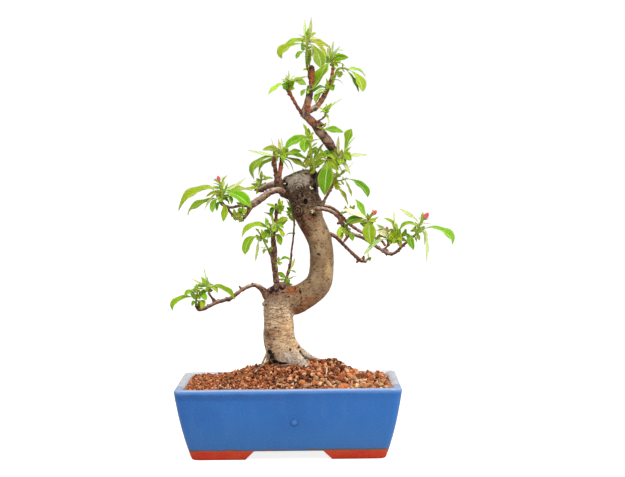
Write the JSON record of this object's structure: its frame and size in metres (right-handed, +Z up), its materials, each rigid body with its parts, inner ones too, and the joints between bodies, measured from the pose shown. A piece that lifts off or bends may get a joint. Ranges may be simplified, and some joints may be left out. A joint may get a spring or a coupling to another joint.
{
  "type": "chinese quince bonsai",
  "caption": "Small Chinese quince tree with a bent, cut-back trunk, thin spreading branches and young leaves, planted in a rectangular glazed pot on corner feet.",
  "frame": {"origin": "centre of the bounding box on the table surface the pot stands on", "axes": "+Z up, +X towards the end of the longest right-hand branch, -Y towards the viewer of the tree's front; the pot's long side runs along X"},
  "size_m": [0.3189, 0.1908, 0.4915],
  "materials": {
    "glazed_stoneware": "gloss",
    "mesh_plastic": "matte",
    "baked_clay_granules": "matte",
    "trunk_bark": "matte",
    "twig_bark": "matte",
    "leaf_green": "satin",
    "petal_pink": "satin"
  },
  "bodies": {
    "root": {"pot": "glazed_stoneware", "drain_screen_left": "mesh_plastic", "drain_screen_right": "mesh_plastic", "soil": "baked_clay_granules", "trunk": "trunk_bark", "apex_leader": "twig_bark", "apex_fork_right": "twig_bark", "apex_fork_left": "twig_bark", "twig_leader": "twig_bark", "stub_upper_left": "twig_bark", "branch_upper_left": "twig_bark", "branch_back_left": "twig_bark", "twig_up_right": "twig_bark", "branch_right": "twig_bark", "branch_right_back": "twig_bark", "branch_lower_right": "twig_bark", "twig_center_left": "twig_bark", "twig_center_right": "twig_bark", "branch_lower_left": "twig_bark", "shoot_apex_top": "leaf_green", "shoot_apex_right": "leaf_green", "shoot_apex_hang": "leaf_green", "shoot_apex_spur": "leaf_green", "shoot_apex_left": "leaf_green", "shoot_leader_twig": "leaf_green", "leaf_leader": "leaf_green", "shoot_leader_right": "leaf_green", "shoot_knob_top": "leaf_green", "shoot_knob_right": "leaf_green", "shoot_twig_right": "leaf_green", "shoot_stub_top": "leaf_green", "shoot_back_left": "leaf_green", "shoot_upper_left_end": "leaf_green", "shoot_upper_left_mid": "leaf_green", "shoot_upper_left_low": "leaf_green", "shoot_upper_left_twig": "leaf_green", "shoot_lower_left_end": "leaf_green", "shoot_lower_left_mid": "leaf_green", "shoot_center_left": "leaf_green", "shoot_center_left_side": "leaf_green", "shoot_center_top": "leaf_green", "shoot_center_small": "leaf_green", "shoot_center_right_low": "leaf_green", "leaf_center_right": "leaf_green", "shoot_center_right_top": "leaf_green", "shoot_right_inner": "leaf_green", "shoot_right_upper": "leaf_green", "shoot_right_big": "leaf_green", "shoot_right_mid": "leaf_green", "shoot_right_tip": "leaf_green", "leaf_lower_right": "leaf_green", "flower_bud_left": "petal_pink", "flower_bud_inner": "petal_pink", "flower_bud_small": "petal_pink", "flower_bud_right": "petal_pink"}
  },
  "joints": []
}
